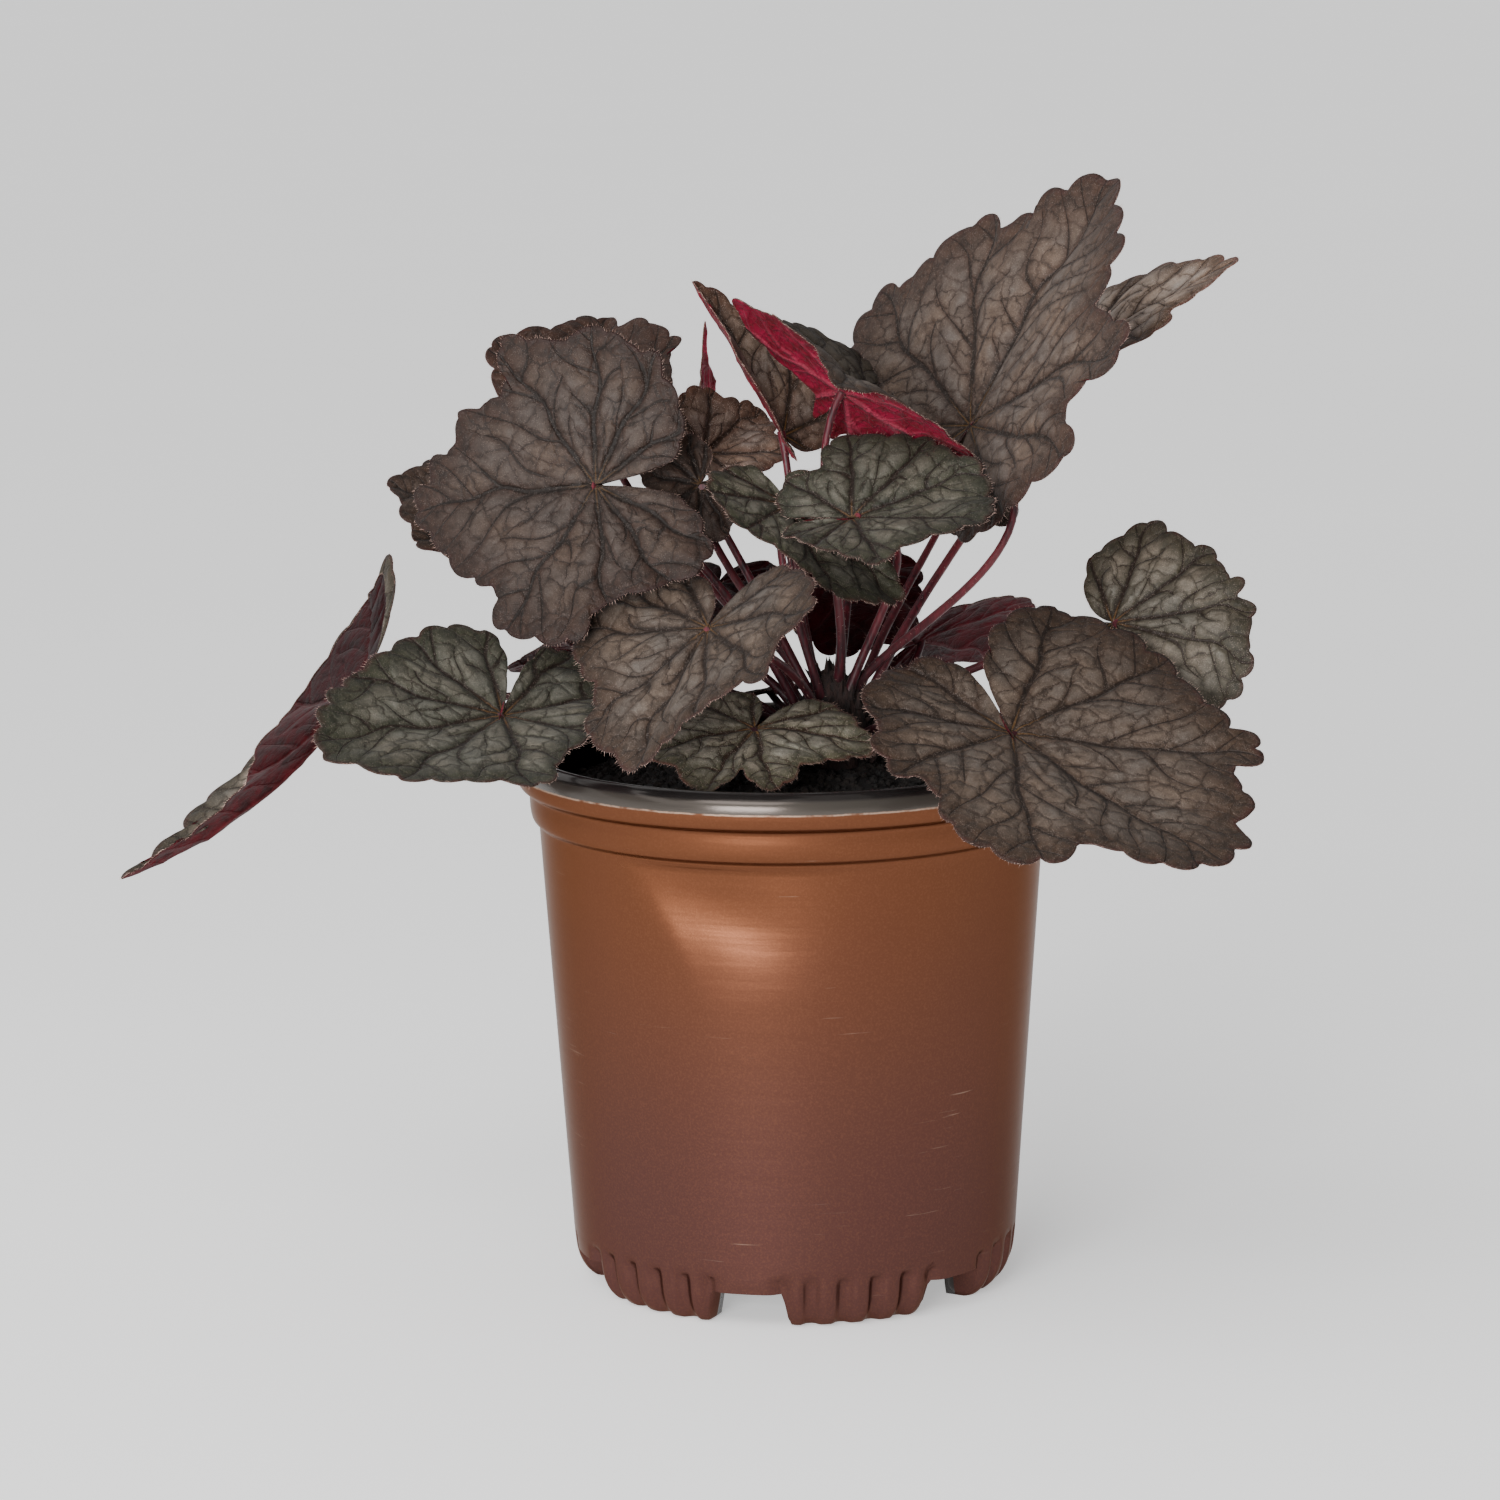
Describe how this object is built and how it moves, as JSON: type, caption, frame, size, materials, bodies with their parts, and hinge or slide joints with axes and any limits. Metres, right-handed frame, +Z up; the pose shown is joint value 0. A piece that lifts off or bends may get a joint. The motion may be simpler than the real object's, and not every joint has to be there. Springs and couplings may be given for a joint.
{
  "type": "potted plant",
  "caption": "Heucherella with lobed, scalloped, dark-veined leaves on slender petioles, growing from a woody crown in a round nursery pot with a fluted foot.",
  "frame": {"origin": "under the middle of the whole plant's bounding box, on the plane that the pot's feet stand on", "axes": "+Z up along the pot's axis; the view of the picture looks along +Y with +X to its right"},
  "size_m": [0.3522, 0.2122, 0.3442],
  "materials": {
    "pot": "satin copper-brown thin-walled plastic",
    "growing_mix": "loose damp crumbly growing mix",
    "crown": "rough brown woody crown",
    "petiole": "dark red, finely hairy",
    "leaf_brown": "silvery brown leaf, dark veins, matt",
    "leaf_dark": "grey-green leaf, dark veins, matt",
    "leaf_silver": "silvery green leaf, dark veins, matt",
    "leaf_red": "burgundy leaf, paler raised veins, matt"
  },
  "bodies": {
    "root": {"pot": "pot", "growing_mix": "growing_mix", "crown": "crown", "leaf_01_blade": "leaf_brown", "leaf_01_petiole": "petiole", "leaf_02_blade": "leaf_silver", "leaf_02_petiole": "petiole", "leaf_03_blade": "leaf_brown", "leaf_03_petiole": "petiole", "leaf_04_blade": "leaf_red", "leaf_04_petiole": "petiole", "leaf_05_blade": "leaf_dark", "leaf_05_petiole": "petiole", "leaf_06_blade": "leaf_brown", "leaf_06_petiole": "petiole", "leaf_07_blade": "leaf_red", "leaf_07_petiole": "petiole", "leaf_08_blade": "leaf_brown", "leaf_08_petiole": "petiole", "leaf_09_blade": "leaf_red", "leaf_09_petiole": "petiole", "leaf_10_blade": "leaf_dark", "leaf_10_petiole": "petiole", "leaf_11_blade": "leaf_dark", "leaf_11_petiole": "petiole", "leaf_12_blade": "leaf_dark", "leaf_12_petiole": "petiole", "leaf_13_blade": "leaf_red", "leaf_13_petiole": "petiole", "leaf_14_blade": "leaf_brown", "leaf_14_petiole": "petiole", "leaf_15_blade": "leaf_silver", "leaf_15_petiole": "petiole", "leaf_16_blade": "leaf_silver", "leaf_16_petiole": "petiole", "leaf_17_blade": "leaf_brown", "leaf_17_petiole": "petiole", "leaf_18_blade": "leaf_silver", "leaf_18_petiole": "petiole", "leaf_19_blade": "leaf_red", "leaf_19_petiole": "petiole", "leaf_20_blade": "leaf_red", "leaf_20_petiole": "petiole", "leaf_21_blade": "leaf_red", "leaf_21_petiole": "petiole", "leaf_22_blade": "leaf_red", "leaf_22_petiole": "petiole", "leaf_23_blade": "leaf_red", "leaf_23_petiole": "petiole", "leaf_24_blade": "leaf_red", "leaf_24_petiole": "petiole", "leaf_25_blade": "leaf_dark", "leaf_25_petiole": "petiole"}
  },
  "joints": []
}
